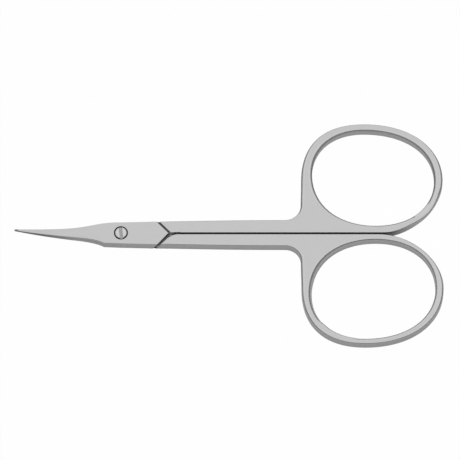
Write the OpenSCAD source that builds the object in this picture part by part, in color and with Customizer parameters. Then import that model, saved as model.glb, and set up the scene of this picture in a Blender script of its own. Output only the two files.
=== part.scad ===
// Cuticle scissors: two steel halves that turn on one slotted pivot screw.
// The origin is on the pivot axis, in the plane that the scissors lie on. +X points to
// the finger rings, +Y to the ring of the front half, and +Z up out of the front face.
// The front half crosses over the back half at the joint. Both blades curve up.
// Lengths are in millimetres and angles in degrees.

/* [Joint] */
// Thickness of the closed scissors at the joint, and of shanks and rings
stock_t = 2.9; // [2.4:0.1:4]
// Clearance between the mating faces of the two halves
mating_gap = 0.05; // [0.03:0.01:0.1]
// From the pivot to the outer edge of the joint beside it
joint_half_w = 2.34; // [2.2:0.02:3.2]
// How far the line between the closed shanks lies off the pivot axis
parting_offset = 0.1; // [0:0.05:0.2]
// From the pivot to the point of the V in which a joint plate ends
v_point = 10.2; // [8.5:0.1:13]
// Gap between that V and the shoulder of the other half
shoulder_gap = 0.54; // [0.3:0.02:0.8]
// Radius of a shoulder's corner at the inner edge of its shank
shoulder_r = 2.5; // [0.5:0.1:3]
// Width of the line cut between a joint plate and its own shank
line_w = 0.28; // [0.15:0.01:0.45]
// Depth of that line
line_depth = 0.3; // [0.1:0.05:0.6]

/* [Pivot screw] */
// Diameter of the screw's head
head_d = 2.5; // [2.2:0.05:2.9]
// Height of the head above the front face, at its middle
head_rise = 0.28; // [0.1:0.02:0.5]
// How far the middle of the head is domed above its rim
head_dome = 0.14; // [0.05:0.01:0.25]
// Depth of the pocket that the head sits in
pocket_depth = 0.75; // [0.5:0.05:0.9]
// Radial clearance between head and pocket
head_gap = 0.2; // [0.05:0.01:0.25]
// Diameter of the plain neck that the front half turns on
neck_d = 1.8; // [1.6:0.05:2]
// Radial clearance between neck and bore
neck_gap = 0.03; // [0.02:0.01:0.05]
// Clearance between the head's underside and the floor of its pocket
seat_gap = 0.02; // [0.01:0.01:0.05]
// Outer diameter of the threaded end, which is screwed into the back half
thread_d = 1.6; // [1.2:0.05:1.6]
// Width of the driver slot
slot_w = 0.58; // [0.4:0.02:0.8]
// Depth of the driver slot
slot_depth = 0.45; // [0.3:0.05:0.6]
// How far the closed slot leans from the line straight across the scissors
slot_turn = 6.5; // [0:0.5:45]

/* [Blades] */
// From the pivot to the blade tips
blade_l = 22.3; // [19:0.1:30]
// From the pivot to the corner where the joint steps in to the blades' lower edge
blade_root = 3.6; // [3.2:0.1:4.4]
// Radius of the curve in which the blades rise
blade_curve_r = 54; // [40:1:90]
// Thickness of the two tips together
tip_t = 0.58; // [0.4:0.02:1]
// Width of the tips, seen from the front
tip_w = 0.2; // [0.1:0.02:0.3]
// Height of the blades' upper edge above the pivot, halfway along
upper_mid_y = 0.78; // [0.6:0.01:1.1]
// Depth of the blades' lower edge below the pivot, where it turns straight
lower_mid_y = 0.97; // [0.7:0.01:1.2]

/* [Shanks] */
// Gap between the closed shanks and rings
handle_gap = 0.36; // [0.2:0.02:0.8]
// From the pivot's height to the outer edge of a shank where it meets its ring
shank_half_w = 2.88; // [2.5:0.02:3.6]
// Radius of the inside corner between shank and ring
root_r = 3.3; // [2.5:0.1:4.2]
// Rounding of the edges of shanks and rings
edge_r = 0.25; // [0.1:0.05:0.5]

/* [Finger rings] */
// From the pivot to the far ends of the rings
handle_l = 67.7; // [62:0.1:76]
// Length of a ring, outside
ring_l = 29.8; // [27:0.1:33]
// Width of a ring, from the line between the closed halves to its far side
ring_w = 24.45; // [22:0.05:28]
// Width of the front ring's rim on the side of its shank
front_rim_near = 2.3; // [1.6:0.05:3]
// Width of the front ring's rim on its far side
front_rim_far = 1.44; // [1.1:0.02:2.2]
// Width of the front ring's rim at its far end
front_rim_end = 1.76; // [1.3:0.02:2.5]
// Width of the front ring's rim beside the other ring
front_rim_beside = 1.59; // [1.2:0.02:2.4]
// Width of the back ring's rim on the side of its shank
back_rim_near = 2.15; // [1.6:0.05:3]
// Width of the back ring's rim on its far side
back_rim_far = 1.16; // [1.1:0.02:2.2]
// Width of the back ring's rim at its far end
back_rim_end = 1.7; // [1.3:0.02:2.5]
// Width of the back ring's rim beside the other ring
back_rim_beside = 1.26; // [1.2:0.02:2.4]
// Fullness of the openings' curves, 0.55 on an ellipse
opening_fullness = 0.6; // [0.55:0.01:0.65]

/* [Hidden] */

// Number of steps in one quarter of a ring, in a small arc and in the blades' curve
quarter_steps = 11;
arc_steps = 6;
curve_steps = 10;
// Number of steps in the rounding of an edge
round_steps = 3;
// Number of sides of every round surface
round_fn = 64;
// How far a cutter reaches past what it cuts, and one solid into its neighbour
past = 1;
lap = 0.3;

// Height of the plane between the halves, and the two mating faces beside it
mid_z = stock_t / 2;
front_face_z = mid_z + mating_gap / 2;
back_face_z = mid_z - mating_gap / 2;

// Both V lines run at 45 degrees. Each is the line where x + |y| has one value.
line_end = v_point + line_w * sqrt(2);
shoulder_end = v_point + shoulder_gap * sqrt(2);
// How far past that line the floor of the cut line reaches along the gap between the
// shanks, so that nothing shows through at the point of the V
floor_reach = 0.6;

// The ring starts at ring_x. Its touching points near, crest, end and foot are shares
// of its own size, first outside and then inside.
ring_x = handle_l - ring_l;
outer_near = 0.474;
outer_crest = 0.448;
outer_end = 0.485;
front_outer_foot = 0.585;
back_outer_foot = 0.55;
inner_near = 0.54;
inner_crest = 0.425;
inner_end = 0.48;
inner_foot = 0.52;
// Fullness of the ring's outside, from near to crest, crest to end and end to foot
near_fullness = 0.65;
end_fullness = 0.59;
front_foot_fullness = 0.46;
back_foot_fullness = 0.51;
// The shank's inside corner ends a little short of the ring's nearest point
root_inset = 0.1;
root_x = ring_x - root_inset - root_r;

// Up to curve_start from the pivot the mating faces are flat, so the joint stays flat
// for any turn. The blades start to thin at taper_start.
curve_start = blade_root;
taper_start = blade_root + 0.9;
// The joint plate ends and the blade begins at join_x, where both are flat
join_x = -0.6 * blade_root;
// The blades' upper edge leaves the joint at upper_start and is halfway at upper_mid_x,
// and their lower edge is straight from lower_mid_x to the tips
upper_start = 0.3 * blade_root;
upper_mid_x = (blade_l + blade_root) / 2 - 0.2;
lower_mid_x = blade_root + 6;
// Slope of the upper edge at its middle
upper_slope = 0.078;

front_side = 1;
back_side = -1;

// Points of a cubic curve, without its last point
function bezier(p, steps) = [for (i = [0:steps - 1]) let (t = i / steps, s = 1 - t)
    s * s * s * p[0] + 3 * s * s * t * p[1] + 3 * s * t * t * p[2] + t * t * t * p[3]];

// One quarter of a ring from a to b, which starts upright or level
function quarter(a, b, full, upright) = upright
    ? bezier([a, [a.x, a.y + full * (b.y - a.y)], [b.x - full * (b.x - a.x), b.y], b],
             quarter_steps)
    : bezier([a, [a.x + full * (b.x - a.x), a.y], [b.x, b.y - full * (b.y - a.y)], b],
             quarter_steps);

// Points of an arc, both ends included
function arc(centre, r, from, to, steps) = [for (i = [0:steps])
    let (a = from + (to - from) * i / steps) centre + r * [cos(a), sin(a)]];

// Height of the outer edge of joint and shank at x
function outer_y(x) = joint_half_w + (shank_half_w - joint_half_w)
    * sin(90 * min(1, max(0, x / root_x)));
// Where that edge crosses the 45 degree line on which x + y has the value s
function crossing(s) = let (x = s - outer_y(s - joint_half_w)) [x, s - x];

// Height of the inner edge of a half's shank, with its ring on the +Y side
function inner_y(side) = handle_gap / 2 - side * parting_offset;

// Outline of shank and ring, clockwise, with the ring on the +Y side
function handle_outline(side, outer_foot, foot_fullness) =
    let (low = inner_y(side), high = ring_w - side * parting_offset,
         start = crossing(line_end),
         near = [ring_x, low + outer_near * (high - low)],
         crest = [ring_x + outer_crest * ring_l, high],
         end = [handle_l, low + outer_end * (high - low)],
         foot = [ring_x + outer_foot * ring_l, low],
         root = [root_x + root_r, shank_half_w + root_r],
         sway = (near.y - root.y) / 3)
    concat([[line_end - low, low]],
           [for (i = [0:arc_steps - 1]) let (x = start.x + (root_x - start.x) * i / arc_steps)
               [x, outer_y(x)]],
           arc([root_x, root.y], root_r, -90, 0, arc_steps),
           [for (p = bezier([root, root + [0, sway], near - [0, sway], near], 3))
               if (p.y > root.y) p],
           quarter(near, crest, near_fullness, true),
           quarter(crest, end, end_fullness, false),
           quarter(end, foot, foot_fullness, true),
           [foot]);

// Outline of a ring's opening, clockwise, with the ring on the +Y side. The widths of its
// rim stand in the order near, far, end and beside.
function opening_outline(side, rims) =
    let (low = inner_y(side) + rims[3], high = ring_w - side * parting_offset - rims[1],
         left = ring_x + rims[0], right = handle_l - rims[2],
         near = [left, low + inner_near * (high - low)],
         crest = [left + inner_crest * (right - left), high],
         end = [right, low + inner_end * (high - low)],
         foot = [left + inner_foot * (right - left), low])
    concat(quarter(near, crest, opening_fullness, true),
           quarter(crest, end, opening_fullness, false),
           quarter(end, foot, opening_fullness, true),
           quarter(foot, near, opening_fullness, false));

// The same clockwise outline drawn in by d, or out where d is below zero
function drawn_in(p, d) = let (n = len(p)) [for (i = [0:n - 1])
    let (a = unit(p[i] - p[(i + n - 1) % n]), b = unit(p[(i + 1) % n] - p[i]),
         inward = [a.y + b.y, -a.x - b.x])
    p[i] + inward * d / (1 + a * b)];
function unit(v) = v / norm(v);

// Closed solid between equal outlines, each a list of points with its own height.
// The lowest layer comes first, and the outlines run clockwise. Its two ends are fans
// from each outline's last point, from which the whole outline has to be in sight.
module layered(layers) {
    n = len(layers[0]);
    top = n * (len(layers) - 1);
    polyhedron(
        points = [for (layer = layers) each layer],
        faces = concat(
            [for (i = [0:n - 3]) [n - 1, i + 1, i]],
            [for (k = [0:n:top - 1], i = [0:n - 1]) let (j = (i + 1) % n) each
                [[k + i, k + j, k + n + i], [k + j, k + n + j, k + n + i]]],
            [for (i = [0:n - 3]) [top + n - 1, top + i, top + i + 1]]));
}

function at_height(p, z) = [for (q = p) [q.x, q.y, z]];

// Plate of the stock's thickness with rounded edges
module rounded_plate(outline) {
    layered(concat(
        [for (i = [0:round_steps]) let (a = 90 * i / round_steps)
            at_height(drawn_in(outline, edge_r * (1 - sin(a))), edge_r * (1 - cos(a)))],
        [for (i = [round_steps:-1:0]) let (a = 90 * i / round_steps)
            at_height(drawn_in(outline, edge_r * (1 - sin(a))),
                      stock_t - edge_r * (1 - cos(a)))]));
}

// Cutter for an opening whose edges are rounded
module rounded_opening(outline) {
    mouth = drawn_in(outline, -edge_r);
    layered(concat(
        [at_height(mouth, -past)],
        [for (i = [0:round_steps]) let (a = 90 * i / round_steps)
            at_height(drawn_in(outline, -edge_r * (1 - sin(a))), edge_r * (1 - cos(a)))],
        [for (i = [round_steps:-1:0]) let (a = 90 * i / round_steps)
            at_height(drawn_in(outline, -edge_r * (1 - sin(a))),
                      stock_t - edge_r * (1 - cos(a)))],
        [at_height(mouth, stock_t + past)]));
}

// Space for the other half's plate, below the mating face and up to the shoulder
module shoulder_cut(side) {
    low = inner_y(side);
    centre = [shoulder_end + shoulder_r * sqrt(2) - low - shoulder_r, low + shoulder_r];
    high = shank_half_w + past;
    translate([0, 0, -past]) linear_extrude(front_face_z + past)
        polygon(concat(
            [[0, low - past], [0, high], [shoulder_end - high, high]],
            arc(centre, shoulder_r, -135, -90, arc_steps),
            [[centre.x, low - past]]));
}

// Shank and ring of a half, with the ring on the +Y side and the other half below
module handle(side, outer_foot, foot_fullness, rims) {
    difference() {
        rounded_plate(handle_outline(side, outer_foot, foot_fullness));
        rounded_opening(opening_outline(side, rims));
        shoulder_cut(side);
    }
}

// Floor of the cut line, which carries the joint plate over to the shank
module line_floor(side) {
    low = min(0, inner_y(side));
    high = joint_half_w - line_depth;
    end = line_end + floor_reach;
    translate([0, 0, front_face_z])
        linear_extrude(stock_t - line_depth - front_face_z)
            polygon([for (p = [[v_point - lap, low], [end, low],
                               [end, high], [v_point - lap, high]])
                     [p.x - p.y, p.y]]);
}

// Outline of the blades and the joint plate as seen from the front. The closed blades
// cover each other. The upper edge is the front blade's cutting edge and the back
// blade's spine, and the lower edge is the back blade's cutting edge.
function joint_and_blade() =
    let (corner = crossing(v_point),
         start = [-upper_start, joint_half_w], mid = [-upper_mid_x, upper_mid_y],
         step = mid + [6.5, 6.5 * upper_slope], on = mid - [3.9, 3.9 * upper_slope],
         tip = -parting_offset, lower = [-lower_mid_x, -lower_mid_y],
         root = [-blade_root, 0.15 - joint_half_w])
    concat([[v_point, 0], [corner.x, -corner.y]],
           [[0, -joint_half_w]],
           bezier([root, root + [-1.2, 0.7], lower + [2.6, -0.16], lower], arc_steps),
           [lower],
           [[-blade_l, tip - tip_w / 2], [-blade_l, tip + tip_w / 2]],
           [for (i = [1:arc_steps - 1]) bezier([[-blade_l, tip + tip_w / 2],
               [-blade_l + 2.9, 0.26], on, mid], arc_steps)[i]],
           bezier([mid, step, start - [4.4, 0.16], start], quarter_steps),
           [start, [0, joint_half_w]],
           [corner]);

// Height of the mating surface and thickness of the pair at a distance r from the pivot
function curve_z(r) = let (d = max(0, r - curve_start))
    mid_z + blade_curve_r - sqrt(blade_curve_r * blade_curve_r - d * d);
function pair_t(r) = stock_t - (stock_t - tip_t)
    * max(0, r - taper_start) / (blade_l - taper_start);

// Everything between two surfaces of revolution around the pivot, at share_low and
// share_high of the pair's half thickness, gap_low and gap_high away from them
module curved_layer(share_low, gap_low, share_high, gap_high) {
    reach = [0, each [for (i = [0:curve_steps])
        curve_start + (blade_l + past - curve_start) * i / curve_steps]];
    rotate_extrude($fn = round_fn) polygon(concat(
        [for (r = reach) [r, curve_z(r) + share_low * pair_t(r) / 2 + gap_low]],
        [for (i = [len(reach) - 1:-1:0]) let (r = reach[i])
            [r, curve_z(r) + share_high * pair_t(r) / 2 + gap_high]]));
}

// Joint plate and blade of one half between the heights low and high at the joint.
// The layer's surfaces are flat around the pivot, and the plate stays flat to its V.
module plate_and_blade(low, high) {
    intersection() {
        translate([0, 0, -past]) linear_extrude(stock_t + blade_curve_r)
            polygon(joint_and_blade());
        union() {
            intersection() {
                children();
                translate([-2 * blade_l, -blade_l, -past])
                    cube([2 * blade_l + join_x, 2 * blade_l, stock_t + blade_curve_r]);
            }
            translate([join_x, -blade_l, low])
                cube([v_point + past - join_x, 2 * blade_l, high - low]);
        }
    }
}

// Bore for the screw's neck and pocket for its head, through the front half
module pivot_bore() {
    translate([0, 0, mid_z - past])
        cylinder(d = neck_d + 2 * neck_gap, h = stock_t, $fn = round_fn);
    translate([0, 0, stock_t - pocket_depth])
        cylinder(d = head_d + 2 * head_gap, h = pocket_depth + past, $fn = round_fn);
}

// Half with the ring on the +Y side. Its joint plate and blade lie in front.
module front_half() {
    color("silver") difference() {
        union() {
            handle(front_side, front_outer_foot, front_foot_fullness,
                   [front_rim_near, front_rim_far, front_rim_end, front_rim_beside]);
            line_floor(front_side);
            plate_and_blade(front_face_z, stock_t)
                curved_layer(0, mating_gap / 2, 1, 0);
        }
        pivot_bore();
    }
}

// Half with the ring on the -Y side. Its joint plate and blade lie behind.
module back_half() {
    color("darkgray") difference() {
        union() {
            translate([0, 0, stock_t]) rotate([180, 0, 0]) {
                handle(back_side, back_outer_foot, back_foot_fullness,
                       [back_rim_near, back_rim_far, back_rim_end, back_rim_beside]);
                line_floor(back_side);
            }
            plate_and_blade(0, back_face_z)
                curved_layer(-1, 0, 0, -mating_gap / 2);
        }
        translate([0, 0, -past]) cylinder(d = thread_d, h = mid_z + past, $fn = round_fn);
    }
}

// Slotted screw: domed head in its pocket, plain neck, and threaded end flush behind
module pivot_screw() {
    seat_z = stock_t - pocket_depth + seat_gap;
    rim_z = stock_t + head_rise - head_dome;
    // Radius of the dome, from its rise over the head's half-width
    dome_r = (head_d * head_d / 4 + head_dome * head_dome) / (2 * head_dome);
    dome_angle = asin(head_d / 2 / dome_r);
    color("gainsboro") difference() {
        rotate_extrude($fn = round_fn) polygon(concat(
            [[0, 0], [thread_d / 2, 0], [thread_d / 2, back_face_z],
             [neck_d / 2, back_face_z], [neck_d / 2, seat_z], [head_d / 2, seat_z],
             [head_d / 2, rim_z]],
            [for (i = [1:arc_steps]) let (a = dome_angle * (1 - i / arc_steps))
                [dome_r * sin(a), rim_z + head_dome - dome_r * (1 - cos(a))]]));
        rotate([0, 0, slot_turn])
            translate([-slot_w / 2, -head_d, stock_t + head_rise - slot_depth])
                cube([slot_w, 2 * head_d, slot_depth + past]);
    }
}

front_half();
back_half();
pivot_screw();
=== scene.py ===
import math

import bmesh
import bpy
from mathutils import Matrix, Vector


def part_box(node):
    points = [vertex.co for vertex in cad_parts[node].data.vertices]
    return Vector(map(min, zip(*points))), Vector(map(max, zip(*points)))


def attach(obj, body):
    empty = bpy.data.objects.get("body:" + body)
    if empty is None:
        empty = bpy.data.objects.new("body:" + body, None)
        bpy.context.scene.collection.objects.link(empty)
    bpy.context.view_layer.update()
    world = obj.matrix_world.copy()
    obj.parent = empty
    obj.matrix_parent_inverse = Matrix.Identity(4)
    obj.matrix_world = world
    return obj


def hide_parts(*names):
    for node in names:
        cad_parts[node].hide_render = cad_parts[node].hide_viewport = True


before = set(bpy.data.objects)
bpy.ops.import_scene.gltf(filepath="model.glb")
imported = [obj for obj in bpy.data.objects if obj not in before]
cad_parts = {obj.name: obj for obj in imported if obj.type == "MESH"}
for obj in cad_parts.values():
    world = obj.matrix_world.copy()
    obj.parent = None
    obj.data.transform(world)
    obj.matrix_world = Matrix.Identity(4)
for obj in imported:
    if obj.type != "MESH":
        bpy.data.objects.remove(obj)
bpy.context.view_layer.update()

# Every shape is drawn in millimetres and made metres when it is finished
MM = 0.001

# Reach of the scissors from the pivot, and the top of the screw, from the solids
low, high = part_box("back_half")
BLADE_L = -low.x / MM
HANDLE_L = high.x / MM
SCREW_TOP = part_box("pivot_screw")[1].z / MM

# The joint plates
STOCK_T = 2.9
MATING_GAP = 0.05
MID_Z = STOCK_T / 2
MATING_Z = MID_Z + MATING_GAP / 2
JOINT_HALF_W = 2.34
PARTING_OFFSET = 0.1
PLATE_STATIONS = (-1.7, -1.3, -1, -0.5, 0, 2, 4, 6)

# The line across the joint and the shoulder behind it. Both run at 45 degrees, and their
# places are where they meet the X axis. The line's floor reaches into the gap behind it.
V_POINT = 10.2
LINE_W = 0.28
LINE_DEPTH = 0.3
LINE_Z = STOCK_T - LINE_DEPTH
LINE_END = V_POINT + LINE_W * math.sqrt(2)
LINE_FLOOR_END = LINE_END + 0.6
SHOULDER_GAP = 0.54
SHOULDER_R = 4
SHOULDER_END = V_POINT + SHOULDER_GAP * math.sqrt(2)

# The seam's end in the side wall: how far it stands back, how it slants down the wall, and
# which points slant with it
SEAM_STEP = 0.04
SEAM_LEAN = 0.37
SEAM_SIDE_Y = 0.8 * JOINT_HALF_W
SEAM_START, SEAM_END = V_POINT - 0.6, SHOULDER_END + 0.1

# The pivot screw
HEAD_D = 2.5
HEAD_DOME = 0.14
HEAD_RIM_R = 0.14
HEAD_GAP = 0.2
POCKET_DEPTH = 0.75
POCKET_Z = STOCK_T - POCKET_DEPTH
SEAT_GAP = 0.02
NECK_D = 1.8
NECK_GAP = 0.03
THREAD_D = 1.6
CHAMFER = 0.04
SLOT_W = 0.66
SLOT_DEPTH = 0.45
SLOT_TURN = 6.5

# The blades
BLADE_ROOT = 3.6
BLADE_CURVE_R = 54
TAPER_START = BLADE_ROOT + 0.9
TIP_T = 0.58
TIP_W = 0.2
HOLLOW = 0.04

# The blades' edges, as the closed scissors show them. Each pull shapes a curve from one of
# its ends. The tip's guide point is given by its distance from the tip and its height.
JOIN_X = -0.6 * BLADE_ROOT
TIP_GUIDE = (2.9, 0.26)
UPPER_MID = Vector((0.2 - (BLADE_L + BLADE_ROOT) / 2, 0.78))
UPPER_MID_SLOPE = 0.078
UPPER_MID_PULLS = (3.9, 6.5)
UPPER_ROOT = Vector((-0.3 * BLADE_ROOT, JOINT_HALF_W))
UPPER_ROOT_PULL = Vector((4.4, 0.16))
LOWER_MID = Vector((-BLADE_ROOT - 6, -0.97))
LOWER_MID_PULL = Vector((2.6, -0.16))
LOWER_ROOT = Vector((-BLADE_ROOT, 0.15 - JOINT_HALF_W))
LOWER_ROOT_PULL = Vector((-1.2, 0.7))

# The shanks
HANDLE_GAP = 0.36
SHANK_HALF_W = 2.88
ROOT_R = 3.3

# The finger rings. The widths of each rim stand in the order near, far, end and beside.
RING_L = 29.8
RING_W = 24.45
RING_X = HANDLE_L - RING_L
ROOT_X = RING_X - ROOT_R - 0.1
FRONT_RIMS = (2.3, 1.44, 1.76, 1.59)
BACK_RIMS = (2.15, 1.16, 1.7, 1.26)

# Where the outline of a ring turns, as shares of its length or width, and how full the
# quarters between are. A foot is the place beside the gap and the fullness towards it.
NEAR_SHARE, CREST_SHARE, END_SHARE = 0.474, 0.448, 0.485
NEAR_FULLNESS, FAR_FULLNESS = 0.65, 0.59
FRONT_FOOT = (0.585, 0.46)
BACK_FOOT = (0.55, 0.51)

# The same for the opening in it, and how far from the ring's middle the opening can reach
HOLE_NEAR_SHARE, HOLE_CREST_SHARE, HOLE_END_SHARE, HOLE_FOOT_SHARE = 0.54, 0.425, 0.48, 0.52
HOLE_FULLNESS = 0.6
OPENING_REACH = 0.465

# The roundings of edges, from the widest to the finest
OPENING_R = 0.4
LINE_R = 0.28
LINE_STRETCH = 1.5
EDGE_R = 0.2
POCKET_R = 0.08
FINE_R = 0.04
SLOT_R = 0.03

# How far below the back's face the line's floor lies where it runs out in the side wall
LINE_RUNOUT = 1.5 * FINE_R

# How much of a rounding is left beside the gap, and how much each millimetre away adds
GAP_SHARE, GAP_SHARE_RISE = 0.5, 0.5

# How many times wider and deeper the roundings are at the near and then the far end of a
# ring, and how soon that fades away from the end: 2 reaches further round than 4
FRONT_EDGE_ENDS = ((3.5, 2.2, 4), (3.5, 2.2, 4))
BACK_EDGE_ENDS = ((3.5, 2.2, 2), (3.5, 2.2, 4))
FRONT_OPENING_ENDS = ((2, 1.2, 2), (2, 1.2, 4))
BACK_OPENING_ENDS = ((2.4, 3.6, 2), (2, 1.2, 4))

# The front ring's outside leans out towards the face around one direction from its middle,
# given in degrees, by so much at the top and at the bottom
RIM_LEAN_TURN, RIM_LEAN_SPAN = -33, 22
RIM_LEAN_TOP, RIM_LEAN_BOTTOM = 0.45, 0.08

# How much painted shade darkens the pocket, the slot, the wide gap, the blade and the shank
# walls, from 0 to 1. The seams get all of it.
POCKET_SHADE = 0.9
SLOT_SHADE = 0.5
WIDE_GAP_SHADE, WIDE_GAP_FLOOR_SHADE = 0.35, 0.65
BLADE_SHADE = 0.7
SHANK_SHADE = 0.6

# The blade's side walls take painted shade over these shares of its length, and the tip's
# faces at once
BLADE_DARK_START, BLADE_DARK_SPAN = 0.3, 0.4
TIP_DARK_L = 0.8
# How far from the gap the painted shade on the shank walls reaches
SHANK_DARK_REACH = 2.2

# What tells walls from flat faces: the Z of their normals, and the X of a wall that crosses
# the shank
UPRIGHT, LEVEL, BLADE_WALL, CROSSWISE = 0.1, 0.5, 0.9, 0.04
CORNER_ANGLE = math.radians(60)
SHARP_ANGLE = math.radians(35)

# How finely the curves are drawn
QUARTER_STEPS = 26
ARC_STEPS = 12
BLADE_STEPS = 56
BLADE_ROOT_STEPS = 6
ACROSS_STEPS = 2
SHANK_STEPS = 16
ROUND_STEPS = 4
POCKET_STEPS = 3
FINE_STEPS = 2
DOME_STEPS = 10
CIRCLE_STEPS = 72

# Distances below which points count as level, as one point, as a sliver and as on a cut
TINY = 0.004
SAME_POINT = TINY / 4
SLIVER = TINY / 10
CUT_TOLERANCE = TINY / 400

# The steel: how bright and how rough the halves and the screw are
HALF_LEVEL, HALF_ROUGHNESS = 0.56, 0.4
SCREW_LEVEL, SCREW_ROUGHNESS = 0.6, 0.3
DARK_TONE = (0.97, 0.97, 0.975)
BRIGHT_TONE = (1.03, 1.03, 1.03)
# The dark grey that painted shade darkens the steel towards
PAINTED_SHADE_COLOUR = (0.15, 0.15, 0.155, 1)

# Its patterns, on coordinates in millimetres. The polishing lines are stretched along the
# tool, and turn to run around the ring over a short way.
LINES = {"Scale": 7, "Detail": 3, "Roughness": 0.6}
GRAIN = {"Scale": 16, "Detail": 2, "Roughness": 0.5}
PATCHES = {"Scale": 0.35, "Detail": 2, "Roughness": 0.5}
LINES_STRETCH = 0.06
LINES_TURN_X = RING_X + 4

# What each pattern adds to the tone, the roughness and the relief
LINES_TONE, PATCHES_TONE, WORN_TONE = 0.5, 0.7, 0.3
# The last roughness is added where shade is painted
LINES_ROUGH, PATCHES_ROUGH, WORN_ROUGH, PAINTED_SHADE_ROUGH = 0.16, 0.1, 0.08, 0.2
LINES_RELIEF, GRAIN_RELIEF = 0.7, 0.3
RELIEF_STRENGTH, RELIEF_HEIGHT = 0.35, 0.004

# The floor, the light and the room. The levels are shares of white. The shown and mirrored
# shares are how much of plain white the camera sees there and how much metal mirrors.
FLOOR_HALF_W = 900
FLOOR_DROP = 0.01
FLOOR_LEVEL = 0.78
FLOOR_SHOWN, FLOOR_MIRRORED = 0.985, 0.33
ROOM_LEVEL = 0.05
ROOM_SHOWN, ROOM_MIRRORED = 1, 0.2
LAMP_LEVEL = 0.83
LAMP_D = 2000
LAMP_PLACE = (20, 250, 900)

# The camera, and the middle and width of what it shows of the scissors' top plane
CAMERA_ELEVATION = math.radians(70.5)
CAMERA_DISTANCE = 1500
CAMERA_SENSOR_W = 36
CAMERA_CLIP = (10, 10000)
VIEW_W = 96.64
VIEW_X, VIEW_UP = 22.92, 0.59


def bezier(a, b, c, d, steps):
    """Points of a cubic curve, without its last point."""
    points = []
    for i in range(steps):
        t = i / steps
        s = 1 - t
        points.append(s ** 3 * a + 3 * s * s * t * b + 3 * s * t * t * c + t ** 3 * d)
    return points


def quarter(a, b, full, upright):
    """A quarter of a ring from a to b that starts upright or level."""
    across, up = Vector((b.x - a.x, 0)), Vector((0, b.y - a.y))
    first, last = (up, across) if upright else (across, up)
    return bezier(a, a + full * first, b - full * last, b, QUARTER_STEPS)


def arc(centre, radius, start, end, steps=ARC_STEPS):
    """Points of an arc between two angles in degrees, both ends included."""
    angles = [math.radians(start + (end - start) * i / steps) for i in range(steps + 1)]
    return [centre + radius * Vector((math.cos(a), math.sin(a))) for a in angles]


def half_circle(radius, start, end):
    """Points of a half circle around the pivot between two angles in degrees."""
    return arc(Vector((0, 0)), radius, start, end, CIRCLE_STEPS // 2)


def outer_y(x):
    """Height of the outer edge of joint and shank at x."""
    share = min(1, max(0, x / ROOT_X))
    return JOINT_HALF_W + (SHANK_HALF_W - JOINT_HALF_W) * math.sin(math.pi / 2 * share)


def crossing(total, step=0):
    """Where that edge, or one a step further in, crosses the line on which x + y is total."""
    x = total - outer_y(total - JOINT_HALF_W) + step
    return Vector((x, total - x))


def height(edge, x):
    """Height at x of an edge whose points run in the direction of +X."""
    for a, b in zip(edge, edge[1:]):
        if x <= b.x:
            return a.y + (b.y - a.y) * (x - a.x) / (b.x - a.x)
    return edge[-1].y


def joint_edges():
    """Upper and lower edge of blades and joint plates, seen from the front, from tip to V."""
    tip_up = Vector((-BLADE_L, TIP_W / 2 - PARTING_OFFSET))
    tip_down = Vector((-BLADE_L, -TIP_W / 2 - PARTING_OFFSET))
    tip_guide = Vector((-BLADE_L + TIP_GUIDE[0], TIP_GUIDE[1]))
    along = Vector((1, UPPER_MID_SLOPE))
    pull_before, pull_after = UPPER_MID_PULLS
    corner = crossing(V_POINT)
    upper = bezier(tip_up, tip_guide, UPPER_MID - pull_before * along, UPPER_MID, BLADE_STEPS)
    upper += bezier(UPPER_MID, UPPER_MID + pull_after * along, UPPER_ROOT - UPPER_ROOT_PULL,
                    UPPER_ROOT, BLADE_STEPS)
    upper += [UPPER_ROOT, Vector((0, JOINT_HALF_W)), corner]
    lower = [tip_down]
    lower += bezier(LOWER_MID, LOWER_MID + LOWER_MID_PULL, LOWER_ROOT + LOWER_ROOT_PULL,
                    LOWER_ROOT, BLADE_STEPS)
    lower += [LOWER_ROOT, Vector((0, -JOINT_HALF_W)), Vector((corner.x, -corner.y))]
    return upper, lower


def shoulder_path(inner_y):
    """The centre of the shoulder's arc, and the shoulder from the inner to the outer edge:
    the arc, then a 45 degree line."""
    centre_x = SHOULDER_END + SHOULDER_R * math.sqrt(2) - inner_y - SHOULDER_R
    centre = Vector((centre_x, inner_y + SHOULDER_R))
    ends = [crossing(SHOULDER_END, SEAM_STEP), crossing(SHOULDER_END)]
    return centre, arc(centre, SHOULDER_R, -90, -135) + ends


class Half:
    """The measures of one half of the scissors, which is drawn with its ring at +Y. The side
    is 1 for the front half and -1 for the back half, which is turned over when it is done."""

    def __init__(self, side, hole_r, rims, foot, edge_ends, opening_ends):
        self.side = side
        self.hole_r = hole_r
        self.rims = rims
        self.foot = foot
        self.edge_ends = edge_ends
        self.opening_ends = opening_ends
        self.inner_y = HANDLE_GAP / 2 - side * PARTING_OFFSET
        self.top_y = RING_W - side * PARTING_OFFSET
        self.shoulder_centre, self.shoulder = shoulder_path(self.inner_y)
        upper, lower = joint_edges()
        if side < 0:
            upper, lower = [[Vector((p.x, -p.y)) for p in edge] for edge in (lower, upper)]
        self.upper, self.lower = upper, lower

    def inside(self, x):
        """The point of the inner edge beside the gap on the 45 degree line that meets X at x."""
        return Vector((x - self.inner_y, self.inner_y))

    def ring_reach(self, p):
        """The way from the ring's middle to p, as shares of the ring's length and width."""
        across = (p.y - (self.inner_y + self.top_y) / 2) / (self.top_y - self.inner_y)
        return Vector(((p.x - RING_X - RING_L / 2) / RING_L, across))

    def in_opening(self, p):
        return self.ring_reach(p).length < OPENING_REACH

    def on_shoulder(self, p):
        line = abs(p.x + p.y - SHOULDER_END) < TINY
        away = math.hypot(p.x - self.shoulder_centre.x, p.y - self.shoulder_centre.y)
        return line or abs(away - SHOULDER_R) < TINY

    def on_cutting_edge(self, p):
        return p.x < -BLADE_ROOT and 2 * p.y > height(self.upper, p.x) + height(self.lower, p.x)


# The parts of a half's flat outline, which are raised to different heights
PLATE, POCKET, LINE, SHELF, HANDLE = range(1, 6)


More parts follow.
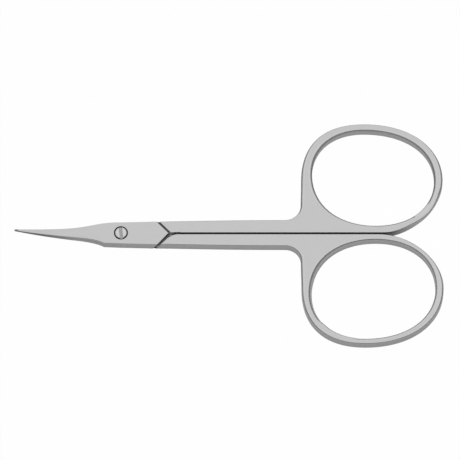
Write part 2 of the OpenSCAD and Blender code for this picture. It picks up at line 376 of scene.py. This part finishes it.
def add_cell(bm, points, part):
    """A flat face with these corners, marked as one part of the half."""
    verts = [bmesh.ops.create_vert(bm, co=(p.x, p.y, MATING_Z))["vert"][0] for p in points]
    edges = [bm.edges.new(pair) for pair in zip(verts, verts[1:] + verts[:1])]
    for face in bmesh.ops.contextual_create(bm, geom=edges)["faces"]:
        face[bm.faces.layers.int["part"]] = part


def add_blade(bm, half):
    """The blade's outline as a grid from the joint plate to the tip."""
    made = bmesh.ops.create_grid(bm, x_segments=BLADE_STEPS, y_segments=ACROSS_STEPS, size=0.5)
    for vert in made["verts"]:
        step = round((0.5 - vert.co.x) * BLADE_STEPS)
        if step <= BLADE_ROOT_STEPS:
            x = JOIN_X + (-BLADE_ROOT - JOIN_X) * step / BLADE_ROOT_STEPS
        else:
            share = (step - BLADE_ROOT_STEPS) / (BLADE_STEPS - BLADE_ROOT_STEPS)
            x = -BLADE_ROOT - (BLADE_L - BLADE_ROOT) * share
        across = vert.co.y + 0.5
        y = height(half.lower, x) * (1 - across) + height(half.upper, x) * across
        vert.co = (x, y, MATING_Z)
    for face in {face for vert in made["verts"] for face in vert.link_faces}:
        face[bm.faces.layers.int["part"]] = PLATE


def add_plate(bm, half):
    """The joint plate's outline around the pivot hole, as an upper and a lower cell."""
    corner, point = crossing(V_POINT), Vector((V_POINT, 0))
    left = Vector((JOIN_X, (height(half.upper, JOIN_X) + height(half.lower, JOIN_X)) / 2))
    above = [Vector((x, height(half.upper, x))) for x in (JOIN_X, *PLATE_STATIONS)]
    below = [Vector((x, height(half.lower, x))) for x in (JOIN_X, *PLATE_STATIONS)]
    v_line = [point, half.inside(V_POINT), crossing(V_POINT, SEAM_STEP), corner]
    add_cell(bm, half_circle(half.hole_r, 180, 0) + v_line + above[::-1] + [left], PLATE)
    v_line = [point, Vector((corner.x, -corner.y))]
    add_cell(bm, half_circle(half.hole_r, 180, 360) + v_line + below[::-1] + [left], PLATE)


def add_pocket(bm, half):
    """The floor of the pocket for the screw's head, around the bore for its neck."""
    bore_r = NECK_D / 2 + NECK_GAP
    for start in (0, 180):
        outside = half_circle(half.hole_r, start, start + 180)
        add_cell(bm, outside + half_circle(bore_r, start, start + 180)[::-1], POCKET)


def add_line(bm, half):
    """The floor of the line across the joint, and the shelf between it and the shoulder."""
    foot, end_foot, floor_end = (half.inside(x) for x in (V_POINT, LINE_END, LINE_FLOOR_END))
    corner, end_corner = crossing(V_POINT, SEAM_STEP), crossing(LINE_END, SEAM_STEP)
    add_cell(bm, [foot, end_foot, end_corner, corner], LINE)
    add_cell(bm, [Vector((V_POINT, 0)), Vector((LINE_FLOOR_END, 0)), floor_end, end_foot, foot],
             LINE)
    add_cell(bm, [end_foot, floor_end] + half.shoulder[:-1] + [end_corner], SHELF)


def shank_edge(start, near):
    """The outer edge of the shank from the shoulder to the near end of the ring."""
    root = Vector((ROOT_X + ROOT_R, SHANK_HALF_W + ROOT_R))
    places = [start.x + (ROOT_X - start.x) * i / SHANK_STEPS for i in range(1, SHANK_STEPS)]
    sway = Vector((0, (near.y - root.y) / 3))
    return ([Vector((x, outer_y(x))) for x in places]
            + arc(root - Vector((ROOT_R, 0)), ROOT_R, -90, 0)
            + bezier(root, root + sway, near - sway, near, ARC_STEPS)[1:] + [near])


def opening_edge(half):
    """The outline of the ring's opening, as the half over its ends and the half under them."""
    rim_near, rim_far, rim_end, rim_beside = half.rims
    base, peak = half.inner_y + rim_beside, half.top_y - rim_far
    left, right = RING_X + rim_near, HANDLE_L - rim_end
    near = Vector((left, base + HOLE_NEAR_SHARE * (peak - base)))
    crest = Vector((left + HOLE_CREST_SHARE * (right - left), peak))
    end = Vector((right, base + HOLE_END_SHARE * (peak - base)))
    foot = Vector((left + HOLE_FOOT_SHARE * (right - left), base))
    over = (quarter(near, crest, HOLE_FULLNESS, True)
            + quarter(crest, end, HOLE_FULLNESS, False) + [end])
    under = (quarter(end, foot, HOLE_FULLNESS, True)
             + quarter(foot, near, HOLE_FULLNESS, False) + [near])
    return over, under


def add_shank_and_ring(bm, half):
    """Shank and ring around the opening, as the far side and the side beside the gap."""
    foot_share, foot_fullness = half.foot
    width = half.top_y - half.inner_y
    near = Vector((RING_X, half.inner_y + NEAR_SHARE * width))
    crest = Vector((RING_X + CREST_SHARE * RING_L, half.top_y))
    end = Vector((HANDLE_L, half.inner_y + END_SHARE * width))
    foot = Vector((RING_X + foot_share * RING_L, half.inner_y))
    over = quarter(near, crest, NEAR_FULLNESS, True) + quarter(crest, end, FAR_FULLNESS, False)
    under = quarter(end, foot, foot_fullness, True) + [foot]
    opening_over, opening_under = opening_edge(half)
    add_cell(bm, over + [end] + opening_over[::-1], HANDLE)
    add_cell(bm, half.shoulder + shank_edge(half.shoulder[-1], near) + opening_under[::-1] + under,
             HANDLE)


def raise_parts(bm, parts, start, end):
    """Draws the flat faces of these parts that lie at start up or down to end."""
    part = bm.faces.layers.int["part"]
    faces = [face for face in bm.faces if face[part] in parts
             and all(abs(vert.co.z - start) < TINY for vert in face.verts)]
    chosen = set(faces)
    region = faces + [edge for edge in bm.edges if chosen.intersection(edge.link_faces)]
    made = bmesh.ops.extrude_face_region(bm, geom=region)["geom"]
    verts = [item for item in made if isinstance(item, bmesh.types.BMVert)]
    bmesh.ops.translate(bm, verts=verts, vec=(0, 0, end - start))


def corners(bm, level, wanted):
    """Outside corners at one level whose middle is wanted."""
    bm.normal_update()
    found = []
    for edge in bm.edges:
        a, b = edge.verts[0].co, edge.verts[1].co
        if abs(a.z - level) < TINY and abs(b.z - level) < TINY and edge.is_manifold:
            if edge.is_convex and edge.calc_face_angle() > CORNER_ANGLE and wanted((a + b) / 2):
                found.append(edge)
    return found


def mark(bm, layer, faces, share=1):
    """Writes a share of wear or of painted shade on these faces, for the finish to read."""
    shares = bm.loops.layers.float[layer]
    for face in faces:
        for loop in face.loops:
            loop[shares] = share


def round_off(bm, edges, radius, steps):
    """Rounds these edges and marks them as the places that hands and cloths polish."""
    made = bmesh.ops.bevel(bm, geom=edges, offset=radius, offset_type="OFFSET", segments=steps,
                           profile=0.5, affect="EDGES", clamp_overlap=False, material=-1)
    mark(bm, "worn", made["faces"])
    # The roundings get no painted shade
    mark(bm, "painted_shade", made["faces"], 0)
    return made["verts"]


def reshape(bm, verts, radius, ends, inner_y):
    """Makes a rounding wider and deeper at the near and the far end of the ring, where the
    rim is forged rounder, and smaller beside the gap."""
    bm.normal_update()
    for vert in verts:
        outward = vert.normal.xy
        if outward.length < TINY:
            continue
        outward.normalize()
        upper = vert.co.z > MID_Z
        down = STOCK_T - vert.co.z if upper else vert.co.z
        inward = radius - math.sqrt(max(0, radius ** 2 - (radius - down) ** 2))
        wall = vert.co.xy + inward * outward
        wider, deeper, fade = ends[0] if wall.x < RING_X + RING_L / 2 else ends[1]
        end = abs(outward.x) ** fade * min(1, max(0, (wall.x - ROOT_X) / ROOT_R))
        share = min(1, GAP_SHARE + GAP_SHARE_RISE * abs(wall.y - inner_y))
        moved = wall - inward * share * (1 + (wider - 1) * end) * outward
        down *= share * (1 + (deeper - 1) * end)
        vert.co = (moved.x, moved.y, STOCK_T - down if upper else down)


def paint_recess_shade(bm, half):
    """Paints shade on the seams, the wide gap behind the shoulder and the screw's pocket."""
    shoulder_reach = half.shoulder_centre.x + half.inner_y

    def in_seam(face):
        reach = [vert.co.x + abs(vert.co.y) for vert in face.verts]
        below = max(vert.co.z for vert in face.verts) < STOCK_T - TINY
        held = min(reach) > V_POINT - TINY and max(reach) < shoulder_reach + TINY
        return held and below and (abs(face.normal.x) > CROSSWISE or abs(face.normal.z) > LEVEL)

    def in_wide_gap(face):
        under = max(vert.co.z for vert in face.verts) < MATING_Z + TINY
        return in_seam(face) and (under or face.calc_center_median().y < 0)

    def in_side_step(face):
        reach = [vert.co.x + vert.co.y for vert in face.verts]
        held = min(reach) > V_POINT - TINY and max(reach) < SHOULDER_END + TINY
        return held and min(vert.co.y for vert in face.verts) > JOINT_HALF_W - SEAM_STEP

    def in_pocket(face):
        reach = [math.hypot(vert.co.x, vert.co.y) for vert in face.verts]
        over = min(vert.co.z for vert in face.verts) > MATING_Z
        return over and max(reach) < half.hole_r + TINY

    mark(bm, "painted_shade", [face for face in bm.faces if in_seam(face) or in_side_step(face)])
    gap = [face for face in bm.faces if in_wide_gap(face)]
    mark(bm, "painted_shade", gap, WIDE_GAP_SHADE)
    mark(bm, "painted_shade", [face for face in gap if abs(face.normal.z) > LEVEL],
         WIDE_GAP_FLOOR_SHADE)
    # The dark ring round the screw's head is painted shade
    if half.side > 0:
        mark(bm, "painted_shade", [face for face in bm.faces if in_pocket(face)], POCKET_SHADE)


def round_edges(bm, half):
    """Rounds the half: first the opening, then its outside, the line's rolled edge, the
    pocket's lip and every sharp corner that is left apart from the cutting edge."""
    opening = corners(bm, STOCK_T, half.in_opening) + corners(bm, 0, half.in_opening)
    rounded = round_off(bm, opening, OPENING_R, ROUND_STEPS)
    reshape(bm, rounded, OPENING_R, half.opening_ends, half.inner_y)
    outside = (corners(bm, STOCK_T, lambda p: p.x + p.y > SHOULDER_END + TINY)
               + corners(bm, 0, lambda p: not half.on_shoulder(p)))
    rounded = round_off(bm, outside, EDGE_R, ROUND_STEPS)
    reshape(bm, rounded, EDGE_R, half.edge_ends, half.inner_y)
    line_edge = corners(bm, STOCK_T, lambda p: abs(p.x + p.y - V_POINT) < TINY)
    for vert in round_off(bm, line_edge, LINE_R, ROUND_STEPS):
        vert.co.x -= (LINE_STRETCH - 1) * (V_POINT - vert.co.x - vert.co.y)
    if half.side > 0:
        lip = corners(bm, STOCK_T, lambda p: math.hypot(p.x, p.y) < half.hole_r + TINY)
        round_off(bm, lip, POCKET_R, POCKET_STEPS)
    fine = corners(bm, MATING_Z, lambda p: not half.on_cutting_edge(p))
    for level in (0, POCKET_Z, LINE_Z, STOCK_T):
        fine += corners(bm, level, lambda p: True)
    round_off(bm, fine, FINE_R, FINE_STEPS)


def paint_shank_shade(bm, half):
    """Paints shade on the walls between the two shanks and rings, most of all beside the gap."""
    for face in bm.faces:
        middle = face.calc_center_median()
        away = middle.y - half.inner_y
        if middle.x > SHOULDER_END and abs(face.normal.z) < UPRIGHT and away < SHANK_DARK_REACH:
            if half.ring_reach(middle).length > OPENING_REACH:
                share = 1 - max(0, away) / SHANK_DARK_REACH
                mark(bm, "painted_shade", [face], SHANK_SHADE * share)


def paint_blade_shade(bm):
    """Paints shade on the narrow side walls of the blade towards the tip, and on the tip's faces.
    """
    for face in bm.faces:
        middle = face.calc_center_median()
        if middle.x < -BLADE_ROOT:
            if abs(face.normal.z) < BLADE_WALL:
                along = (-middle.x - BLADE_ROOT) / (BLADE_L - BLADE_ROOT)
                share = min(1, max(0, (along - BLADE_DARK_START) / BLADE_DARK_SPAN))
                mark(bm, "painted_shade", [face], BLADE_SHADE * share)
            elif middle.x < TIP_DARK_L - BLADE_L:
                mark(bm, "painted_shade", [face], BLADE_SHADE)


def lean_rim(bm, half):
    """Leans the outside of the ring out towards the face, so that less of its wall shows."""
    width = half.top_y - half.inner_y
    for vert in bm.verts:
        reach = half.ring_reach(vert.co)
        if reach.length < OPENING_REACH:
            continue
        turn = math.degrees(math.atan2(reach.y * width, reach.x * RING_L))
        share = abs(turn - RIM_LEAN_TURN) / RIM_LEAN_SPAN
        if share < 1:
            outward = Vector((reach.x / RING_L, reach.y / width)).normalized()
            lean = RIM_LEAN_BOTTOM + (RIM_LEAN_TOP - RIM_LEAN_BOTTOM) * vert.co.z / STOCK_T
            moved = lean * math.cos(math.pi / 2 * share) ** 2 * outward
            vert.co.x += moved.x
            vert.co.y += moved.y


def lean_seam(bm, side):
    """Slants the seam's end down the side wall on which the open gap comes out, where the
    line on the back runs out."""
    corner = crossing(V_POINT)
    slope = (corner.y - JOINT_HALF_W) / corner.x
    for vert in bm.verts:
        x, y, z = vert.co
        if -side * y > SEAM_SIDE_Y and SEAM_START < x + abs(y) < SEAM_END:
            shift = SEAM_LEAN * (STOCK_T - z if side > 0 else z)
            vert.co.x -= shift
            vert.co.y += side * slope * shift
            if side < 0 and abs(z - LINE_Z) < TINY:
                vert.co.z = STOCK_T - LINE_RUNOUT


def lift(r):
    """How far the blades' mating surface has risen at a distance r from the pivot."""
    out = max(0, r - BLADE_ROOT)
    return BLADE_CURVE_R - math.sqrt(BLADE_CURVE_R ** 2 - out ** 2)


def pair_t(r):
    """Thickness of the two blades together at a distance r from the pivot."""
    return STOCK_T - (STOCK_T - TIP_T) * max(0, r - TAPER_START) / (BLADE_L - TAPER_START)


def curve_blade(bm, half):
    """Bends the blade up, thins it and hollows its inner face."""
    for vert in bm.verts:
        x, y, z = vert.co
        r = math.hypot(x, y)
        if x > 0 or r < BLADE_ROOT:
            continue
        bottom, top = height(half.lower, x), height(half.upper, x)
        share = (z - MATING_Z) / (STOCK_T - MATING_Z)
        across = min(1, max(0, (y - bottom) / max(TINY, top - bottom)))
        hollow = HOLLOW * 4 * across * (1 - across) * (1 - share) * min(1, r - BLADE_ROOT)
        half_t = pair_t(r) / 2 - MATING_GAP / 2
        vert.co.z = MID_Z + half.side * lift(r) + MATING_GAP / 2 + hollow + share * half_t


def half_piece(name, half):
    """One half of the scissors: its outline in flat cells, raised, rounded and bent."""
    bm = new_shape()
    bm.faces.layers.int.new("part")
    add_blade(bm, half)
    add_plate(bm, half)
    if half.side > 0:
        add_pocket(bm, half)
    add_line(bm, half)
    add_shank_and_ring(bm, half)
    bmesh.ops.remove_doubles(bm, verts=bm.verts, dist=SAME_POINT)
    raise_parts(bm, {PLATE, POCKET, LINE, SHELF, HANDLE}, MATING_Z, POCKET_Z)
    raise_parts(bm, {PLATE, LINE, SHELF, HANDLE}, POCKET_Z, LINE_Z)
    raise_parts(bm, {PLATE, SHELF, HANDLE}, LINE_Z, STOCK_T)
    raise_parts(bm, {HANDLE}, MATING_Z, 0)
    bmesh.ops.recalc_face_normals(bm, faces=bm.faces)
    bm.faces.layers.int.remove(bm.faces.layers.int["part"])
    paint_recess_shade(bm, half)
    round_edges(bm, half)
    paint_shank_shade(bm, half)
    if half.side > 0:
        lean_rim(bm, half)
    lean_seam(bm, half.side)
    paint_blade_shade(bm)
    curve_blade(bm, half)
    if half.side < 0:
        bmesh.ops.rotate(bm, verts=bm.verts, cent=(0, 0, MID_Z),
                         matrix=Matrix.Rotation(math.pi, 3, "X"))
    return finish_piece(bm, name)


def new_shape():
    """An empty shape whose faces can hold wear and painted shade."""
    bm = bmesh.new()
    bm.loops.layers.float.new("worn")
    bm.loops.layers.float.new("painted_shade")
    return bm


def finish_piece(bm, name):
    """Makes a drawn shape an object in metres, with even shading on its flat faces."""
    bmesh.ops.dissolve_degenerate(bm, dist=SLIVER, edges=bm.edges)
    bmesh.ops.recalc_face_normals(bm, faces=bm.faces)
    bmesh.ops.scale(bm, vec=(MM, MM, MM), verts=bm.verts)
    piece = add_object(bm, name)
    piece.data.shade_smooth()
    piece.data.set_sharp_from_angle(angle=SHARP_ANGLE)
    even = piece.modifiers.new("even_shading", "WEIGHTED_NORMAL")
    even.keep_sharp = True
    return piece


def add_object(bm, name):
    """Puts a finished shape into the scene."""
    mesh = bpy.data.meshes.new(name)
    bm.to_mesh(mesh)
    bm.free()
    made = bpy.data.objects.new(name, mesh)
    bpy.context.scene.collection.objects.link(made)
    return made


def screw_piece():
    """The pivot screw: turned on a lathe, then slotted."""
    bm = new_shape()
    head_r, neck_r, thread_r = HEAD_D / 2, NECK_D / 2, THREAD_D / 2
    seat_z, neck_z = POCKET_Z + SEAT_GAP, MID_Z - MATING_GAP / 2
    dome_r = (head_r ** 2 + HEAD_DOME ** 2) / (2 * HEAD_DOME)
    dome_angle = math.degrees(math.asin((head_r - HEAD_RIM_R) / dome_r))
    shank = [(0, 0), (thread_r - CHAMFER, 0), (thread_r, CHAMFER), (thread_r, neck_z),
             (neck_r, neck_z), (neck_r, seat_z), (head_r - CHAMFER, seat_z),
             (head_r, seat_z + CHAMFER)]
    rim = arc(Vector((head_r - HEAD_RIM_R, SCREW_TOP - HEAD_DOME - HEAD_RIM_R)), HEAD_RIM_R,
              0, 90 - dome_angle, ROUND_STEPS)
    dome = arc(Vector((0, SCREW_TOP - dome_r)), dome_r, 90 - dome_angle, 90, DOME_STEPS)
    outline = [Vector(p) for p in shank] + rim + dome[1:]
    verts = [bmesh.ops.create_vert(bm, co=(p.x, 0, p.y))["vert"][0] for p in outline]
    edges = [bm.edges.new(pair) for pair in zip(verts, verts[1:])]
    bmesh.ops.spin(bm, geom=verts + edges, cent=(0, 0, 0), axis=(0, 0, 1), angle=2 * math.pi,
                   steps=CIRCLE_STEPS, use_merge=True)
    bmesh.ops.remove_doubles(bm, verts=bm.verts, dist=SAME_POINT)
    cut_slot(bm, SCREW_TOP - SLOT_DEPTH)
    bmesh.ops.rotate(bm, verts=bm.verts, cent=(0, 0, 0),
                     matrix=Matrix.Rotation(math.radians(SLOT_TURN), 3, "Z"))
    return finish_piece(bm, "screw")


def cut_slot(bm, floor_z):
    """Cuts the driver slot across the head down to floor_z and rounds its lips."""
    half_w = SLOT_W / 2
    planes = (((half_w, 0, 0), (1, 0, 0)), ((-half_w, 0, 0), (1, 0, 0)),
              ((0, 0, floor_z), (0, 0, 1)))
    for place, direction in planes:
        everything = bm.verts[:] + bm.edges[:] + bm.faces[:]
        bmesh.ops.bisect_plane(bm, geom=everything, dist=CUT_TOLERANCE, plane_co=place,
                               plane_no=direction)

    def in_slot(face):
        middle = face.calc_center_median()
        return abs(middle.x) < half_w and middle.z > floor_z

    bmesh.ops.delete(bm, geom=[face for face in bm.faces if in_slot(face)], context="FACES")
    open_edges = [edge for edge in bm.edges if edge.is_boundary]
    ends = {}
    for vert in {vert for edge in open_edges for vert in edge.verts}:
        if abs(abs(vert.co.x) - half_w) < TINY and abs(vert.co.z - floor_z) < TINY:
            ends[vert.co.x > 0, vert.co.y > 0] = vert
    foot_edges, lips = [], []
    for right in (True, False):
        foot = bm.edges.new((ends[right, True], ends[right, False]))
        wall_x = half_w if right else -half_w
        wall = [edge for edge in open_edges
                if all(abs(vert.co.x - wall_x) < TINY for vert in edge.verts)]
        bmesh.ops.contextual_create(bm, geom=wall + [foot])
        foot_edges.append(foot)
        lips += [edge for edge in wall if min(vert.co.z for vert in edge.verts) > floor_z + TINY]
    floor = [edge for edge in open_edges
             if all(abs(vert.co.z - floor_z) < TINY for vert in edge.verts)]
    bmesh.ops.contextual_create(bm, geom=floor + foot_edges)
    bmesh.ops.recalc_face_normals(bm, faces=bm.faces)
    # Painted shade on the slot's walls and floor
    mark(bm, "painted_shade", [face for foot in foot_edges for face in foot.link_faces], SLOT_SHADE)
    round_off(bm, lips, SLOT_R, FINE_STEPS)


class Value:
    """A socket that can stand in an expression. Each operator adds a Math node."""

    def __init__(self, shader, socket):
        self.shader = shader
        self.socket = socket

    def math(self, operation, *others):
        """A Math node on this value and the others."""
        inputs = dict(enumerate((self,) + others))
        return self.shader.node("ShaderNodeMath", {"operation": operation}, inputs)["Value"]

    def __add__(self, other):
        return self.math("ADD", other)

    __radd__ = __add__

    def __mul__(self, other):
        return self.math("MULTIPLY", other)

    __rmul__ = __mul__

    def __sub__(self, other):
        return self.math("SUBTRACT", other)

    def __rsub__(self, other):
        return (self * -1) + other


class Shader:
    """The node tree of one material or of the world."""

    def __init__(self, holder):
        holder.use_nodes = True
        self.tree = holder.node_tree
        self.tree.nodes.clear()

    def node(self, kind, settings=None, inputs=None):
        """Adds a node, sets it, feeds its inputs and gives its outputs by name."""
        node = self.tree.nodes.new(kind)
        for name, value in (settings or {}).items():
            setattr(node, name, value)
        for name, value in (inputs or {}).items():
            if isinstance(value, Value):
                self.tree.links.new(value.socket, node.inputs[name])
            else:
                node.inputs[name].default_value = value
        return {output.name: Value(self, output) for output in node.outputs if output.enabled}

    def blend(self, factor, a, b):
        """A colour between a and b. The Mix node's sockets for colours are its 6 and 7."""
        return self.node("ShaderNodeMix", {"data_type": "RGBA"}, {0: factor, 6: a, 7: b})["Result"]

    def noise(self, vector, pattern):
        """A noise of one of the steel's patterns, from 0 to 1."""
        return self.node("ShaderNodeTexNoise", {"noise_dimensions": "3D"},
                         {"Vector": vector, **pattern})["Fac"]

    def marked(self, layer):
        """The share of wear or of painted shade that is written on the faces."""
        return self.node("ShaderNodeAttribute", {"attribute_name": layer})["Fac"]


def grey(level):
    """A neutral colour of this level."""
    return (level, level, level, 1)


def steel(name, ring_side, level, roughness):
    """Satin stainless steel. The polishing lines run along the joint and the shank and
    around the finger ring, whose centre lies on the ring_side of the pivot."""
    material = bpy.data.materials.new(name)
    shader = Shader(material)
    place = shader.node("ShaderNodeTexCoord")["Object"]
    in_mm = shader.node("ShaderNodeVectorMath", {"operation": "SCALE"},
                        {0: place, "Scale": 1 / MM})["Vector"]
    axes = shader.node("ShaderNodeSeparateXYZ", inputs={0: in_mm})
    x, y, z = axes["X"], axes["Y"], axes["Z"]

    # Distance from the ring's centre and the way around it, both in millimetres
    from_x = x - (RING_X + RING_L / 2)
    from_y = y - ring_side * RING_W / 2
    out = (from_x * from_x + from_y * from_y).math("SQRT")
    around = from_y.math("ARCTAN2", from_x) * (RING_W / 2)
    on_ring = shader.node("ShaderNodeMapRange", {"interpolation_type": "SMOOTHSTEP"},
                          {"Value": x, "From Min": ROOT_X, "From Max": LINES_TURN_X})["Result"]
    along = x + (around - x) * on_ring
    across = y + (out - y) * on_ring
    stretched = shader.node("ShaderNodeCombineXYZ",
                            inputs={"X": along * LINES_STRETCH, "Y": across, "Z": z})["Vector"]

    lines = shader.noise(stretched, LINES)
    grain = shader.noise(in_mm, GRAIN)
    patches = shader.noise(in_mm, PATCHES)
    worn = shader.marked("worn")
    painted_shade = shader.marked("painted_shade")
    tone = (lines - 0.5) * LINES_TONE + (patches - 0.5) * PATCHES_TONE + worn * WORN_TONE + 0.5
    tone = tone.math("MAXIMUM", 0).math("MINIMUM", 1)
    dark, bright = (tuple(level * share for share in tint) + (1,)
                    for tint in (DARK_TONE, BRIGHT_TONE))
    # Painted shade: where it is marked, the colour darkens towards a dark grey and the steel grows
    # rougher
    colour = shader.blend(painted_shade, shader.blend(tone, dark, bright), PAINTED_SHADE_COLOUR)
    rough = ((lines - 0.5) * LINES_ROUGH + (patches - 0.5) * PATCHES_ROUGH - worn * WORN_ROUGH
             + painted_shade * PAINTED_SHADE_ROUGH + roughness)
    relief = lines * LINES_RELIEF + grain * GRAIN_RELIEF
    normal = shader.node("ShaderNodeBump", inputs={
        "Strength": RELIEF_STRENGTH, "Distance": RELIEF_HEIGHT * MM, "Height": relief})["Normal"]
    surface = shader.node("ShaderNodeBsdfPrincipled", inputs={
        "Base Color": colour, "Metallic": 1, "Roughness": rough, "Normal": normal})["BSDF"]
    shader.node("ShaderNodeOutputMaterial", inputs={"Surface": surface})
    return material


def dress(piece, body, node, material):
    """Gives a piece its finish, ties it to the body and hides the solid that it stands for."""
    piece.data.materials.append(material)
    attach(piece, body)
    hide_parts(node)


def white_backdrop(shader, output, plain, shown, mirrored):
    """The camera sees one share of white and metal mirrors another, and the light that falls
    on the scissors comes from the plain surface."""
    kind = "ShaderNodeBackground" if output.endswith("World") else "ShaderNodeEmission"
    white = next(iter(shader.node(kind, inputs={"Color": grey(1), "Strength": 1}).values()))
    ray = shader.node("ShaderNodeLightPath")
    factor = (ray["Is Camera Ray"] * shown
              + (ray["Is Glossy Ray"] + ray["Is Transmission Ray"]) * mirrored)
    mixed = shader.node("ShaderNodeMixShader", inputs={0: factor, 1: plain, 2: white})
    shader.node(output, inputs={"Surface": mixed["Shader"]})


def build_floor():
    """A pale table that the scissors lie on."""
    bm = bmesh.new()
    bmesh.ops.create_grid(bm, x_segments=1, y_segments=1, size=FLOOR_HALF_W * MM)
    bmesh.ops.translate(bm, verts=bm.verts, vec=(0, 0, -FLOOR_DROP * MM))
    floor = add_object(bm, "floor")
    paint = bpy.data.materials.new("floor_white")
    shader = Shader(paint)
    plain = shader.node("ShaderNodeBsdfDiffuse", inputs={"Color": grey(FLOOR_LEVEL)})["BSDF"]
    white_backdrop(shader, "ShaderNodeOutputMaterial", plain, FLOOR_SHOWN, FLOOR_MIRRORED)
    floor.data.materials.append(paint)


def build_light():
    """A wide soft light overhead, in a dimmer room."""
    lamp = bpy.data.lights.new("softbox", "AREA")
    lamp.shape = "DISK"
    lamp.size = LAMP_D * MM
    # At a level of 1 a lamp of this power looks exactly white
    lamp.energy = LAMP_LEVEL * math.pi * math.pi * lamp.size * lamp.size / 4
    softbox = bpy.data.objects.new("softbox", lamp)
    softbox.location = Vector(LAMP_PLACE) * MM
    softbox.rotation_euler = softbox.location.to_track_quat("Z", "Y").to_euler()
    softbox.visible_camera = False
    bpy.context.scene.collection.objects.link(softbox)
    room = bpy.data.worlds.new("room")
    bpy.context.scene.world = room
    shader = Shader(room)
    plain = shader.node("ShaderNodeBackground",
                        inputs={"Color": grey(ROOM_LEVEL), "Strength": 1})["Background"]
    white_backdrop(shader, "ShaderNodeOutputWorld", plain, ROOM_SHOWN, ROOM_MIRRORED)


def build_camera():
    """A long lens at the photograph's angle, aimed so that the frame is filled as there."""
    back = Vector((0, -math.cos(CAMERA_ELEVATION), math.sin(CAMERA_ELEVATION)))
    up = Vector((0, math.sin(CAMERA_ELEVATION), math.cos(CAMERA_ELEVATION)))
    distance, view_w = CAMERA_DISTANCE * MM, VIEW_W * MM
    target = Vector((VIEW_X * MM, 0, STOCK_T * MM)) + up * (VIEW_UP * MM)
    lens = bpy.data.cameras.new("camera")
    lens.sensor_width = CAMERA_SENSOR_W
    lens.lens = CAMERA_SENSOR_W * distance / view_w
    lens.clip_start, lens.clip_end = (limit * MM for limit in CAMERA_CLIP)
    camera = bpy.data.objects.new("camera", lens)
    camera.location = target + back * distance
    camera.rotation_euler = back.to_track_quat("Z", "Y").to_euler()
    bpy.context.scene.collection.objects.link(camera)
    bpy.context.scene.camera = camera


front = half_piece("front", Half(1, HEAD_D / 2 + HEAD_GAP, FRONT_RIMS, FRONT_FOOT,
                                 FRONT_EDGE_ENDS, FRONT_OPENING_ENDS))
back = half_piece("back", Half(-1, THREAD_D / 2, BACK_RIMS, BACK_FOOT,
                               BACK_EDGE_ENDS, BACK_OPENING_ENDS))
screw = screw_piece()
dress(front, "front", "front_half",
      steel("front_satin", 1, HALF_LEVEL, HALF_ROUGHNESS))
dress(back, "back", "back_half",
      steel("back_satin", -1, HALF_LEVEL, HALF_ROUGHNESS))
dress(screw, "back", "pivot_screw",
      steel("screw_satin", 1, SCREW_LEVEL, SCREW_ROUGHNESS))
build_floor()
build_light()
build_camera()

scene = bpy.context.scene
scene.view_settings.view_transform = "Standard"
